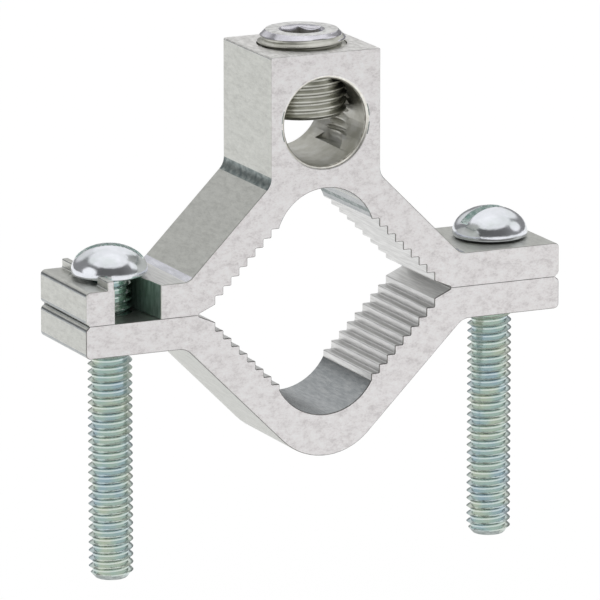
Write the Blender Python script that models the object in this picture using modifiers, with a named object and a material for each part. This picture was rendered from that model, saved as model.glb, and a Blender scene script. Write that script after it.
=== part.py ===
"""Earthing clamp for a pipe: two serrated aluminium V jaws, drawn together by two
round-head screws, and a lug on the upper jaw with a set screw for the earth wire.

Metres, +Z up. The origin is the centre of the pipe opening. X runs from the
slotted ear on the left to the plain ear on the right, Y runs through the clamp
along the pipe, and the jaws part at Z = 0.
"""

import math

import bmesh
import bpy
from mathutils import Matrix

MM = 0.001

# Both jaws, sawn from two long extrusions
JAW_WIDTH = 20.0 * MM
JAW_GAP = 0.3 * MM
EAR_EDGE = 8.85 * MM  # from a screw's axis to the end of its ear
EAR_CORNER_RADIUS = 0.9 * MM
HEAD_TO_ARM = 4.0 * MM

# The V: a round crown, then square steps at 45 degrees that bite on the pipe
BITE_REACH = 22.95 * MM  # where the line over the tips of the steps meets Z = 0
CROWN_HALF_WIDTH = 8.94 * MM
TOOTH_STEP = 1.55 * MM
TOOTH_TIP_RADIUS = 0.25 * MM
TOOTH_ROOT_RADIUS = 0.2 * MM
LEAD_IN_DEPTH = 0.5  # the least height of the lead-in, in steps of the V
LEAD_IN_RUN = 3.3 * MM
LEAD_IN_RADIUS = 0.8 * MM

# The upper jaw's crown and outside, and its wire lug
UPPER_CROWN_WALL = 0.3 * MM  # from the first step's tip to where the arc begins
UPPER_CROWN_RISE = 6.19 * MM
UPPER_EAR_THICKNESS = 6.0 * MM
UPPER_ARM_THICKNESS = 6.82 * MM
UPPER_EAR_FILLET = 2.5 * MM
LUG_FILLET = 3.0 * MM
LUG_FLOOR = 3.85 * MM
LUG_WALL = 2.75 * MM
LUG_ROOF = 4.65 * MM
LUG_CORNER_RADIUS = 0.35 * MM
WIRE_BORE_DIAMETER = 15.7 * MM
WIRE_BORE_CHAMFER = 0.3 * MM

# The lower jaw's crown and outside
LOWER_CROWN_WALL = 1.2 * MM
LOWER_CROWN_RISE = 5.28 * MM
LOWER_EAR_THICKNESS = 5.7 * MM
LOWER_ARM_THICKNESS = 7.0 * MM
LOWER_EAR_FILLET = 3.2 * MM
HEEL_RADIUS = 11.7 * MM

# The set screw and its tapped hole; threads are drawn at their pitch diameter
SET_SCREW_DIAMETER = 14.96 * MM
SET_SCREW_LENGTH = 15.0 * MM
SET_SCREW_FACE = 12.9 * MM
SET_SCREW_END_BEVEL = 0.4 * MM
SET_SCREW_PROUD = 2.5 * MM
SOCKET_ACROSS_FLATS = 6.35 * MM
SOCKET_DEPTH = 6.0 * MM
SOCKET_TURN = math.radians(11.5)
TAP_DRILL_ALLOWANCE = 0.56 * MM
TAP_DRILL_END = 1.8 * MM  # both ends measured up from the floor of the wire bore
TAP_END = 3.75 * MM
THREAD_CLEARANCE = 0.3 * MM
MOUTH_CHAMFER = 0.25 * MM

# The two clamp screws
SHANK_DIAMETER = 7.02 * MM
SHANK_LENGTH = 55.2 * MM
SHANK_END_BEVEL = 0.9 * MM
HEAD_DIAMETER = 13.5 * MM
HEAD_HEIGHT = 5.1 * MM
HEAD_RIM = 0.5 * MM
DRIVER_SLOT_WIDTH = 1.9 * MM
DRIVER_SLOT_DEPTH = 2.5 * MM
LEFT_HEAD_GAP = 0.8 * MM
RIGHT_HEAD_GAP = 0.5 * MM
LEFT_SLOT_TURN = math.radians(-25)
RIGHT_SLOT_TURN = math.radians(12)

# The upper ears: a plain hole on the right, an open slot, a rib and a spot face on the left
SHANK_CLEARANCE = 0.84 * MM
EAR_SLOT_LEAN = math.radians(6)
RIB_CLEARANCE = 3.5 * MM  # from the screw's axis to the rib
RIB_WIDTH = 1.2 * MM
RIB_HEIGHT = 1.6 * MM
RIB_CORNER_RADIUS = 0.25 * MM
HEAD_CLEARANCE = 0.55 * MM
SPOT_FACE_SINK = 0.06 * MM

# How round stretches are divided and joined, and how far a cutter runs past what it cuts
SMALL_RADIUS = 0.5 * MM
SMALL_RADIUS_STEP = math.radians(15)
ARC_STEP = math.radians(6)
ROUND_STEPS = 48
DOME_STEPS = 9
SHARP_ANGLE = math.radians(30)
WELD_DISTANCE = 0.001 * MM
OVERSHOOT = 2.0 * MM

# Worked out from the sizes above
TIP_HEIGHT = BITE_REACH - CROWN_HALF_WIDTH
UPPER_REACH = BITE_REACH + UPPER_ARM_THICKNESS * math.sqrt(2)
LOWER_REACH = BITE_REACH + LOWER_ARM_THICKNESS * math.sqrt(2)
PARTING = JAW_GAP / 2
UPPER_EAR_TOP = PARTING + UPPER_EAR_THICKNESS
LOWER_EAR_BOTTOM = -PARTING - LOWER_EAR_THICKNESS
SCREW_X = UPPER_REACH - UPPER_EAR_TOP + HEAD_TO_ARM + HEAD_DIAMETER / 2
HALF_SPAN = SCREW_X + EAR_EDGE
BORE_RADIUS = WIRE_BORE_DIAMETER / 2
BORE_HEIGHT = TIP_HEIGHT + UPPER_CROWN_WALL + UPPER_CROWN_RISE + LUG_FLOOR + BORE_RADIUS
LUG_HALF_WIDTH = BORE_RADIUS + LUG_WALL
LUG_TOP = BORE_HEIGHT + BORE_RADIUS + LUG_ROOF


def clear_scene():
    for obj in list(bpy.data.objects):
        bpy.data.objects.remove(obj, do_unlink=True)


def new_collection(name):
    collection = bpy.data.collections.new(name)
    bpy.context.scene.collection.children.link(collection)
    return collection


def metal(name, colour, roughness):
    material = bpy.data.materials.new(name)
    material.use_nodes = True
    shader = material.node_tree.nodes["Principled BSDF"]
    shader.inputs["Base Color"].default_value = (*colour, 1)
    shader.inputs["Metallic"].default_value = 1.0
    shader.inputs["Roughness"].default_value = roughness
    return material


def rounded(corners):
    """An outline from (x, z, radius) corners, where each radius above 0 becomes an arc."""
    points = []
    for index, (x, z, radius) in enumerate(corners):
        if radius == 0:
            points.append((x, z))
            continue
        before = corners[index - 1]
        after = corners[(index + 1) % len(corners)]
        into = math.atan2(z - before[1], x - before[0])
        out = math.atan2(after[1] - z, after[0] - x)
        turn = math.remainder(out - into, math.tau)
        setback = radius * math.tan(abs(turn) / 2)
        side = math.copysign(math.pi / 2, turn)
        centre_x = x - setback * math.cos(into) + radius * math.cos(into + side)
        centre_z = z - setback * math.sin(into) + radius * math.sin(into + side)
        stride = SMALL_RADIUS_STEP if radius < SMALL_RADIUS else ARC_STEP
        steps = max(2, math.ceil(abs(turn) / stride))
        for step in range(steps + 1):
            angle = into - side + turn * step / steps
            points.append((centre_x + radius * math.cos(angle), centre_z + radius * math.sin(angle)))
    return points


def reflected(corners):
    """The same corners on the other side of X = 0, in the order that carries on round."""
    return [(-x, z, radius) for x, z, radius in reversed(corners)]


def lowered(corners):
    """The same corners below Z = 0."""
    return [(x, -z, radius) for x, z, radius in corners]


def plate(name, outline, thickness, collection):
    """An outline in the XY plane as a filled 2D curve, extruded both ways along Z."""
    curve = bpy.data.curves.new(name, "CURVE")
    curve.dimensions = "2D"
    curve.fill_mode = "BOTH"
    curve.extrude = thickness / 2
    spline = curve.splines.new("POLY")
    spline.points.add(len(outline) - 1)
    for point, (x, y) in zip(spline.points, outline):
        point.co = (x, y, 0, 1)
    spline.use_cyclic_u = True
    guide = bpy.data.objects.new(name + "_outline", curve)
    collection.objects.link(guide)
    obj = meshed(guide, name, collection)
    bpy.data.objects.remove(guide, do_unlink=True)
    return obj


def meshed(guide, name, collection):
    """A closed mesh object from a curve object, with its caps welded on."""
    bpy.context.view_layer.update()
    mesh = bpy.data.meshes.new_from_object(guide.evaluated_get(bpy.context.evaluated_depsgraph_get()))
    shape = bmesh.new()
    shape.from_mesh(mesh)
    bmesh.ops.remove_doubles(shape, verts=shape.verts, dist=WELD_DISTANCE)
    bmesh.ops.recalc_face_normals(shape, faces=shape.faces)
    shape.to_mesh(mesh)
    shape.free()
    obj = bpy.data.objects.new(name, mesh)
    obj.matrix_world = guide.matrix_world
    collection.objects.link(obj)
    return obj


def extrusion(name, corners, collection):
    """A jaw's section in X and Z, as long along Y as the jaw is wide."""
    obj = plate(name, rounded(corners), JAW_WIDTH, collection)
    obj.data.transform(Matrix.Rotation(math.pi / 2, 4, "X"))
    return obj


def turned(name, profile, collection):
    """(radius, z) points from top to bottom, turned about Z."""
    shape = bmesh.new()
    verts = [shape.verts.new((radius, 0, z)) for radius, z in profile]
    for upper, lower in zip(verts, verts[1:]):
        shape.edges.new((upper, lower))
    mesh = bpy.data.meshes.new(name)
    shape.to_mesh(mesh)
    shape.free()
    obj = bpy.data.objects.new(name, mesh)
    collection.objects.link(obj)
    screw = obj.modifiers.new("turn", "SCREW")
    screw.steps = screw.render_steps = ROUND_STEPS
    screw.use_merge_vertices = True
    screw.merge_threshold = WELD_DISTANCE
    return obj


def prism(name, diameter, bottom, top, sides, collection):
    """An upright cylinder, or a prism whose corners lie on the diameter."""
    shape = bmesh.new()
    bmesh.ops.create_cone(
        shape, cap_ends=True, segments=sides, radius1=diameter / 2, radius2=diameter / 2, depth=top - bottom
    )
    bmesh.ops.translate(shape, verts=shape.verts, vec=(0, 0, (top + bottom) / 2))
    mesh = bpy.data.meshes.new(name)
    shape.to_mesh(mesh)
    shape.free()
    obj = bpy.data.objects.new(name, mesh)
    collection.objects.link(obj)
    return obj


def cut(obj, cutter):
    cutter.hide_render = True
    cutter.display_type = "WIRE"
    boolean = obj.modifiers.new(cutter.name, "BOOLEAN")
    boolean.operation = "DIFFERENCE"
    boolean.object = cutter


def finish(obj, material):
    """Gives an object its metal, and shades its round stretches smooth."""
    obj.data.materials.append(material)
    obj.data.shade_smooth()
    obj.data.set_sharp_from_angle(angle=SHARP_ANGLE)


def v_flank():
    """The right flank of the V, from its lead-in at the parting line up to the crown."""
    rises = math.floor((TIP_HEIGHT - PARTING) / TOOTH_STEP - LEAD_IN_DEPTH)
    corners = [(CROWN_HALF_WIDTH + rises * TOOTH_STEP + LEAD_IN_RUN, PARTING, LEAD_IN_RADIUS)]
    for rise in range(rises, 0, -1):
        x = CROWN_HALF_WIDTH + rise * TOOTH_STEP
        z = TIP_HEIGHT - rise * TOOTH_STEP
        corners.append((x, z, TOOTH_TIP_RADIUS))
        corners.append((x, z + TOOTH_STEP, TOOTH_ROOT_RADIUS))
    corners.append((CROWN_HALF_WIDTH, TIP_HEIGHT, TOOTH_TIP_RADIUS))
    return corners


def crown(wall, rise):
    """The arc over the V from right to left: it starts a wall above the first tip, and rises."""
    radius = (CROWN_HALF_WIDTH**2 + rise**2) / (2 * rise)
    spring = TIP_HEIGHT + wall
    half_sweep = math.atan2(CROWN_HALF_WIDTH, radius - rise)
    steps = math.ceil(half_sweep / ARC_STEP)
    corners = []
    for step in range(-steps, steps + 1):
        angle = half_sweep * step / steps
        x = -radius * math.sin(angle)
        z = spring + rise - radius + radius * math.cos(angle)
        corners.append((x, z, 0))
    return corners


def v_notch(crown_wall, crown_rise):
    """The whole V from right to left, over its crown."""
    flank = v_flank()
    return flank + crown(crown_wall, crown_rise) + reflected(flank)


def upper_jaw_section():
    """The upper jaw's outline: the V, the left ear with its rib, the lug and the right ear."""
    ear = [(HALF_SPAN, UPPER_EAR_TOP, EAR_CORNER_RADIUS), (HALF_SPAN, PARTING, EAR_CORNER_RADIUS)]
    lug = [
        (LUG_HALF_WIDTH, LUG_TOP, LUG_CORNER_RADIUS),
        (LUG_HALF_WIDTH, UPPER_REACH - LUG_HALF_WIDTH, LUG_FILLET),
        (UPPER_REACH - UPPER_EAR_TOP, UPPER_EAR_TOP, UPPER_EAR_FILLET),
    ]
    rib_inner = -SCREW_X - RIB_CLEARANCE
    rib_outer = rib_inner - RIB_WIDTH
    rib_top = UPPER_EAR_TOP + RIB_HEIGHT
    rib = [
        (rib_outer, UPPER_EAR_TOP, RIB_CORNER_RADIUS),
        (rib_outer, rib_top, RIB_CORNER_RADIUS),
        (rib_inner, rib_top, RIB_CORNER_RADIUS),
        (rib_inner, UPPER_EAR_TOP, RIB_CORNER_RADIUS),
    ]
    notch = v_notch(UPPER_CROWN_WALL, UPPER_CROWN_RISE)
    return notch + reflected(ear) + rib + reflected(lug) + lug + ear


def lower_jaw_section():
    """The lower jaw's outline: the V, then the left ear, the round heel and the right ear."""
    ear = [
        (LOWER_REACH + LOWER_EAR_BOTTOM, LOWER_EAR_BOTTOM, LOWER_EAR_FILLET),
        (HALF_SPAN, LOWER_EAR_BOTTOM, EAR_CORNER_RADIUS),
        (HALF_SPAN, -PARTING, EAR_CORNER_RADIUS),
    ]
    notch = lowered(v_notch(LOWER_CROWN_WALL, LOWER_CROWN_RISE))
    return notch + reflected(ear) + [(0, -LOWER_REACH, HEEL_RADIUS)] + ear


def cut_wire_bore(jaw, cutters):
    """The bore along Y that takes the wire, with both mouths chamfered."""
    wide = BORE_RADIUS + WIRE_BORE_CHAMFER + OVERSHOOT
    end = JAW_WIDTH / 2 + OVERSHOOT
    throat = JAW_WIDTH / 2 - WIRE_BORE_CHAMFER
    profile = [(0, end), (wide, end), (BORE_RADIUS, throat), (BORE_RADIUS, -throat), (wide, -end), (0, -end)]
    bore = turned("wire_bore", profile, cutters)
    bore.location.z = BORE_HEIGHT
    bore.rotation_euler.x = math.pi / 2
    cut(jaw, bore)


def cut_set_screw_hole(jaw, cutters):
    """The tapped hole from the lug's top, across the wire bore, and its narrower drilled end."""
    tapped = SET_SCREW_DIAMETER / 2 + THREAD_CLEARANCE
    drilled = (SET_SCREW_DIAMETER - TAP_DRILL_ALLOWANCE) / 2
    start = LUG_TOP + OVERSHOOT
    floor = BORE_HEIGHT - BORE_RADIUS
    profile = [
        (0, start),
        (tapped + MOUTH_CHAMFER + OVERSHOOT, start),
        (tapped, LUG_TOP - MOUTH_CHAMFER),
        (tapped, floor + TAP_END),
        (drilled, floor + TAP_END),
        (drilled, floor + TAP_DRILL_END),
        (0, floor + TAP_DRILL_END),
    ]
    cut(jaw, turned("set_screw_hole", profile, cutters))


def cut_ear_slot(jaw, cutters):
    """The slot that lets the left screw swing out to the front, and the spot face round it."""
    half_width = SHANK_DIAMETER / 2 + SHANK_CLEARANCE
    front = -JAW_WIDTH / 2 - OVERSHOOT
    outline = [(-half_width, front), (half_width, front)]
    steps = ROUND_STEPS // 2
    for step in range(steps + 1):
        angle = math.pi * step / steps
        outline.append((half_width * math.cos(angle), half_width * math.sin(angle)))
    top = UPPER_EAR_TOP + RIB_HEIGHT + OVERSHOOT
    bottom = PARTING - OVERSHOOT
    slot = plate("ear_slot", outline, top - bottom, cutters)
    slot.location = (-SCREW_X, 0, (top + bottom) / 2)
    slot.rotation_euler.z = EAR_SLOT_LEAN
    cut(jaw, slot)
    face = prism(
        "spot_face", HEAD_DIAMETER + 2 * HEAD_CLEARANCE, UPPER_EAR_TOP - SPOT_FACE_SINK, top, ROUND_STEPS, cutters
    )
    face.location.x = -SCREW_X
    cut(jaw, face)


def cut_shank_hole(jaw, name, x, clearance, bottom, top, cutters):
    hole = prism(name, SHANK_DIAMETER + 2 * clearance, bottom - OVERSHOOT, top + OVERSHOOT, ROUND_STEPS, cutters)
    hole.location.x = x
    cut(jaw, hole)


def build_upper_jaw(metal_skin, parts, cutters):
    jaw = extrusion("upper_jaw", upper_jaw_section(), parts)
    cut_wire_bore(jaw, cutters)
    cut_set_screw_hole(jaw, cutters)
    cut_ear_slot(jaw, cutters)
    cut_shank_hole(jaw, "plain_hole", SCREW_X, SHANK_CLEARANCE, PARTING, UPPER_EAR_TOP, cutters)
    finish(jaw, metal_skin)


def build_lower_jaw(metal_skin, parts, cutters):
    jaw = extrusion("lower_jaw", lower_jaw_section(), parts)
    for name, x in (("left_tapped_hole", -SCREW_X), ("right_tapped_hole", SCREW_X)):
        cut_shank_hole(jaw, name, x, THREAD_CLEARANCE, LOWER_EAR_BOTTOM, -PARTING, cutters)
    finish(jaw, metal_skin)


def clamp_screw_profile():
    """A round-head screw from its crown down, with the underside of its head at Z = 0."""
    dome = HEAD_HEIGHT - HEAD_RIM
    profile = [(0, HEAD_HEIGHT)]
    for step in range(1, DOME_STEPS + 1):
        angle = math.pi / 2 * (1 - step / DOME_STEPS)
        profile.append((HEAD_DIAMETER / 2 * math.cos(angle), HEAD_RIM + dome * math.sin(angle)))
    radius = SHANK_DIAMETER / 2
    return profile + [
        (HEAD_DIAMETER / 2, 0),
        (radius, 0),
        (radius, SHANK_END_BEVEL - SHANK_LENGTH),
        (radius - SHANK_END_BEVEL, -SHANK_LENGTH),
        (0, -SHANK_LENGTH),
    ]


def build_clamp_screw(name, x, head_gap, slot_turn, metal_skin, parts, cutters):
    """One screw, standing in its ears with its origin under the head on its own axis."""
    screw = turned(name, clamp_screw_profile(), parts)
    screw.location = (x, 0, UPPER_EAR_TOP + head_gap)
    shape = bmesh.new()
    bmesh.ops.create_cube(shape, size=1)
    size = (HEAD_DIAMETER + OVERSHOOT, DRIVER_SLOT_WIDTH, DRIVER_SLOT_DEPTH + OVERSHOOT)
    bmesh.ops.scale(shape, verts=shape.verts, vec=size)
    mesh = bpy.data.meshes.new(name + "_slot")
    shape.to_mesh(mesh)
    shape.free()
    slot = bpy.data.objects.new(name + "_slot", mesh)
    cutters.objects.link(slot)
    slot.location = screw.location
    slot.location.z += HEAD_HEIGHT + (OVERSHOOT - DRIVER_SLOT_DEPTH) / 2
    slot.rotation_euler.z = slot_turn
    cut(screw, slot)
    finish(screw, metal_skin)


def build_set_screw(metal_skin, parts, cutters):
    """The socket set screw, with its origin on its top face."""
    radius = SET_SCREW_DIAMETER / 2
    profile = [
        (0, 0),
        (SET_SCREW_FACE / 2, 0),
        (radius, SET_SCREW_FACE / 2 - radius),
        (radius, SET_SCREW_END_BEVEL - SET_SCREW_LENGTH),
        (radius - SET_SCREW_END_BEVEL, -SET_SCREW_LENGTH),
        (0, -SET_SCREW_LENGTH),
    ]
    screw = turned("set_screw", profile, parts)
    screw.location.z = LUG_TOP + SET_SCREW_PROUD
    across_corners = SOCKET_ACROSS_FLATS / math.cos(math.pi / 6)
    socket = prism("hex_socket", across_corners, -SOCKET_DEPTH, OVERSHOOT, 6, cutters)
    socket.location = screw.location
    socket.rotation_euler.z = SOCKET_TURN
    cut(screw, socket)
    finish(screw, metal_skin)


def main():
    clear_scene()
    parts = new_collection("earthing_clamp")
    cutters = new_collection("cutters")
    aluminium = metal("aluminium", (0.72, 0.72, 0.70), 0.38)
    zinc = metal("zinc_plate", (0.66, 0.70, 0.70), 0.25)
    tin = metal("tin_plate", (0.72, 0.72, 0.71), 0.22)
    build_upper_jaw(aluminium, parts, cutters)
    build_lower_jaw(aluminium, parts, cutters)
    build_clamp_screw("left_clamp_screw", -SCREW_X, LEFT_HEAD_GAP, LEFT_SLOT_TURN, zinc, parts, cutters)
    build_clamp_screw("right_clamp_screw", SCREW_X, RIGHT_HEAD_GAP, RIGHT_SLOT_TURN, zinc, parts, cutters)
    build_set_screw(tin, parts, cutters)


main()
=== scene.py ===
# %% [markdown]
# An earthing clamp bonds an earth wire to a metal water pipe. Two aluminium jaws with
# stepped V's close on the pipe as two slotted screws draw them together, and a lug on the
# upper jaw takes the wire under a large set screw. The CAD model holds every main size, so
# this script loads it as a fixed frame and dresses it: the same forms again with cut
# threads, softened edges and real metal finishes, in the same places.

import math

import bmesh
import bpy
from mathutils import Matrix, Vector


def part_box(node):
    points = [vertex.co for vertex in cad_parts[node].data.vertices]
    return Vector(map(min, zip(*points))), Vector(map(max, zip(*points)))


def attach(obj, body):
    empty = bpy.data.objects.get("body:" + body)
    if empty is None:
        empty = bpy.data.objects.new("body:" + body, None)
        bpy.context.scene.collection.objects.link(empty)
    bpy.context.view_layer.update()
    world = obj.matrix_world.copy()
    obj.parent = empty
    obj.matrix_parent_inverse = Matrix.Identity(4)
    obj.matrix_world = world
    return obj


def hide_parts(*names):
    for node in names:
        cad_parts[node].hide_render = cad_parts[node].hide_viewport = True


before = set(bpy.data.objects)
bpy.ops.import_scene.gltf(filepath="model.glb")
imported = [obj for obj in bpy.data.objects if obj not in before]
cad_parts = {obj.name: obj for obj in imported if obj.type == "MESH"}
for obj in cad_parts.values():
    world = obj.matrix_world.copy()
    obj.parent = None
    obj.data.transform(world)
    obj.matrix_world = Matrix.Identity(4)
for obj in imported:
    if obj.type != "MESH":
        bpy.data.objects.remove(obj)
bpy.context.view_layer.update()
MM = 0.001
print("CAD nodes:", ", ".join(sorted(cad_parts)))

# %% [markdown]
# The materials, the world and the Geometry Nodes tree below are wired by one small
# function. It adds a node, sets its properties and fills its inputs, by name or by order:
# a plain value is written into the socket, and another node is linked to it by its output.
# Colours are given as hex codes, the way a colour picker shows them, and a second function
# turns them into the linear light that Blender computes with.

# %% One function for nodes, one for colours


def add(tree, kind, inputs=(), **settings):
    """A new node, whose inputs are values, nodes, or outputs of nodes."""
    node = tree.nodes.new(kind)
    for name, value in settings.items():
        setattr(node, name, value)
    for key, value in inputs.items() if isinstance(inputs, dict) else enumerate(inputs):
        socket = node.inputs[key]
        if isinstance(value, bpy.types.Node):
            value = value.outputs[0]
        if isinstance(value, bpy.types.NodeSocket):
            tree.links.new(value, socket)
        else:
            socket.default_value = value
    return node


def colour(code):
    """An sRGB hex code as the linear colour that Blender's sockets take."""
    channels = [int(code[start : start + 2], 16) / 255 for start in (1, 3, 5)]
    linear = [c / 12.92 if c <= 0.04045 else ((c + 0.055) / 1.055) ** 2.4 for c in channels]
    return (*linear, 1.0)


print("mid grey is", [round(channel, 3) for channel in colour("#808080")[:3]], "in linear light")

# %% [markdown]
# All the finishes here are bare or plated metal, so one function builds them: blotches of
# tone from one noise, and tool marks from a finer one that drives the roughness and a
# shallow bump. Both are drawn out along the way the tool or the die ran. Image textures
# would need unwrapping; noise that reads Object coordinates in metres doesn't, and each
# pattern is simply given by its real size. Metals keep the default IOR, because their
# colour already says how they reflect.

# %% A function for metal finishes
TONE_PLACES = (0.34, 0.5, 0.66)  # where the dark, middle and light tones lie on the noise


def metal(name, tones, blotch, marks, roughness, relief, along=(1, 1, 1), grain=0.5):
    """A metal: three tones, the sizes of its patterns, its gloss, and how grainy its blotches are."""
    material = bpy.data.materials.new(name)
    material.use_nodes = True
    tree = material.node_tree
    tree.nodes.clear()
    place = add(tree, "ShaderNodeTexCoord").outputs["Object"]
    drawn = add(tree, "ShaderNodeMapping", {"Vector": place, "Scale": [1 / length for length in along]})
    spread = {"Vector": drawn, "Scale": 1 / blotch, "Detail": 4, "Roughness": grain}
    clouds = add(tree, "ShaderNodeTexNoise", spread)
    ramp = add(tree, "ShaderNodeValToRGB", [clouds])
    ramp.color_ramp.elements.new(0.5)
    for element, position, code in zip(ramp.color_ramp.elements, TONE_PLACES, tones):
        element.position = position
        element.color = colour(code)
    lines = add(tree, "ShaderNodeTexNoise", {"Vector": drawn, "Scale": 1 / marks, "Detail": 3})
    gloss = add(tree, "ShaderNodeMapRange", {"Value": lines, "To Min": roughness[0], "To Max": roughness[1]})
    bump = add(tree, "ShaderNodeBump", {"Height": lines, "Distance": relief})
    look = {"Base Color": ramp, "Metallic": 1.0, "Roughness": gloss, "Normal": bump}
    shader = add(tree, "ShaderNodeBsdfPrincipled", look)
    add(tree, "ShaderNodeOutputMaterial", [shader])
    print("finish:", name)
    return material


print("the three tones lie at", TONE_PLACES)

# %% [markdown]
# The jaws are slices sawn from long aluminium extrusions. Fine saw marks scatter light
# every way, so the sawn faces are the palest of the jaws, and matt. Real saw marks and die
# lines are under 0.1 mm wide. Here, and in the finishes below, they are 0.15 to 0.5 mm
# wide, because anything finer wouldn't show in the render.

# %% The finishes of the sawn sides
# Sawn aluminium: pale and matt, with grainy clouds from handling.
sawn_aluminium = metal(
    "sawn_aluminium",
    tones=("#E3DFDF", "#F8F5F5", "#FFFEFE"),
    blotch=1.3 * MM,
    marks=0.25 * MM,
    along=(1.5, 1, 1),
    roughness=(0.42, 0.6),
    relief=0.02 * MM,
    grain=0.9,
)
# Broken edges: the corner was taken off after sawing, and a dark tone paints a thin shadow line along it.
edge_painted_shade = metal(
    "edge_painted_shade",
    tones=("#757471", "#858481", "#959390"),
    blotch=0.6 * MM,
    marks=0.2 * MM,
    roughness=(0.3, 0.45),
    relief=0.01 * MM,
)

# %% [markdown]
# The faces round the section were made by the die that the hot metal was pushed through,
# along Y. Its faint lines run that way, so these patterns are drawn out along Y. One
# finish for all of them would look like paint: flat faces, steps, corners and fillets
# rub the die differently, and each kind has its own gloss. The rounds also carry painted
# light: darker tones that are painted shade, and a brighter one that is a painted highlight.

# %% The finishes that the die leaves
# Mill finish of the flat faces: greyer and glossier than a sawn face.
mill_aluminium = metal(
    "mill_aluminium",
    tones=("#BEBFBA", "#CCCDC8", "#D6D7D2"),
    blotch=1 * MM,
    marks=0.3 * MM,
    along=(1, 3, 1),
    roughness=(0.32, 0.42),
    relief=0.008 * MM,
    grain=0.9,
)
# The steps of the V: a little paler, with long streaks.
step_aluminium = metal(
    "step_aluminium",
    tones=("#D0D0CF", "#DCDCDB", "#E8E8E7"),
    blotch=0.3 * MM,
    marks=0.15 * MM,
    along=(1, 14, 1),
    roughness=(0.26, 0.4),
    relief=0.012 * MM,
)
# Crown and round corners: smooth, with a dark tone that is painted shade.
burnished_painted_shade = metal(
    "burnished_painted_shade",
    tones=("#959A9C", "#A2A6A8", "#AFB2B3"),
    blotch=0.5 * MM,
    marks=0.3 * MM,
    along=(1, 5, 1),
    roughness=(0.2, 0.3),
    relief=0.012 * MM,
)
# The fillets under the lug: mottled, with a dark tone that is painted shade in the crease.
lug_root_painted_shade = metal(
    "lug_root_painted_shade",
    tones=("#727C7C", "#8B9594", "#A7AFAD"),
    blotch=0.8 * MM,
    marks=0.5 * MM,
    along=(1, 1.5, 1),
    roughness=(0.32, 0.46),
    relief=0.03 * MM,
)
# The wide fillets of the ears: smooth, with a bright, bluish tone that is a painted highlight.
burnished_painted_highlight = metal(
    "burnished_painted_highlight",
    tones=("#D0D1D8", "#DBDCE4", "#E6E7EE"),
    blotch=0.6 * MM,
    marks=0.3 * MM,
    along=(1, 5, 1),
    roughness=(0.18, 0.28),
    relief=0.012 * MM,
)

# %% [markdown]
# The holes, the slot and the lug's top were cut by tools after the sawing. Cut metal is
# cleaner than the die's skin, and what it looks like depends on what stands near it.

# %% The finishes of the cut faces
# Milled slot and screw hole: upright tool marks, with a greenish tint that is a painted reflection of the
# plated screw in them.
milled_aluminium = metal(
    "milled_aluminium",
    tones=("#9FB9AC", "#B4CBC0", "#C8DDD3"),
    blotch=0.8 * MM,
    marks=0.3 * MM,
    along=(1, 1, 3),
    roughness=(0.42, 0.58),
    relief=0.01 * MM,
)
# Bored and tapped holes: smooth, a little warm in tone.
machined_aluminium = metal(
    "machined_aluminium",
    tones=("#B3B2A8", "#C3C2BA", "#D0D0CB"),
    blotch=3 * MM,
    marks=0.2 * MM,
    roughness=(0.34, 0.46),
    relief=0.008 * MM,
)
# The lug's top: faced flat, pale and matt.
faced_aluminium = metal(
    "faced_aluminium",
    tones=("#D6D5D2", "#E6E5E3", "#F5F4F2"),
    blotch=0.6 * MM,
    marks=0.3 * MM,
    along=(1, 2, 1),
    roughness=(0.42, 0.58),
    relief=0.015 * MM,
)
# The rounded mouths of the wire bore: cut clean and glossier than a sawn face, with a pale tone that is a
# painted highlight.
mouth_painted_highlight = metal(
    "mouth_painted_highlight",
    tones=("#E6E3DA", "#F0EEE6", "#F9F8F2"),
    blotch=0.6 * MM,
    marks=0.3 * MM,
    roughness=(0.3, 0.42),
    relief=0.01 * MM,
)

# %% [markdown]
# The clamp screws are steel, rolled and zinc plated, and a clear passivate over the zinc
# tints them. The tint drifts, so on the thread its three tones are three hues and not
# three greys: bluish, blue-green and straw.

# %% The finishes of the clamp screws
# Zinc on the thread: glossy, with a tint that drifts over a few millimetres.
zinc_thread = metal(
    "zinc_plated_thread",
    tones=("#C0CFD5", "#C8D6D1", "#D2D9CE"),
    blotch=4 * MM,
    marks=0.4 * MM,
    along=(1.4, 1.4, 0.8),
    roughness=(0.1, 0.22),
    relief=0.035 * MM,
)
# Zinc on the head: struck smooth, shiny, with slow waves left by the die.
zinc_head = metal(
    "zinc_plated_head",
    tones=("#DADFE1", "#E4E7EC", "#ECEEF4"),
    blotch=3 * MM,
    marks=2.2 * MM,
    roughness=(0.12, 0.2),
    relief=0.06 * MM,
)
# Zinc on the tip: left rough where the blank was cut off, so it is dull and grey.
zinc_tip = metal(
    "zinc_plated_tip",
    tones=("#8C9593", "#A0A8A6", "#B4BBB9"),
    blotch=0.8 * MM,
    marks=0.4 * MM,
    roughness=(0.3, 0.45),
    relief=0.02 * MM,
)
# Zinc in the driver slot: cut rough, so it is matt and patchy.
zinc_slot = metal(
    "zinc_plated_slot",
    tones=("#BFD6D2", "#E6EFED", "#FBFDFD"),
    blotch=0.9 * MM,
    marks=0.4 * MM,
    roughness=(0.5, 0.7),
    relief=0.03 * MM,
)

# %% [markdown]
# The set screw is aluminium with a tin plate, whiter than zinc and without its tint. The
# plate is the same all over, but the metal under it isn't: its thread was cut, its end
# was faced and chamfered, and its socket was punched. The thread is also darker and
# warmer: painted shade and a painted reflection of the bore that it stands in.

# %% The finishes of the set screw
# Tin on the cut thread: fairly smooth, with a grey, warm tone that is painted shade from the bore and a
# painted reflection of its walls.
tin_thread_painted_shade = metal(
    "tin_plated_thread_painted_shade",
    tones=("#B2B2AA", "#C2C2BA", "#D1D1CA"),
    blotch=3 * MM,
    marks=0.8 * MM,
    roughness=(0.24, 0.34),
    relief=0.004 * MM,
)
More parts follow.
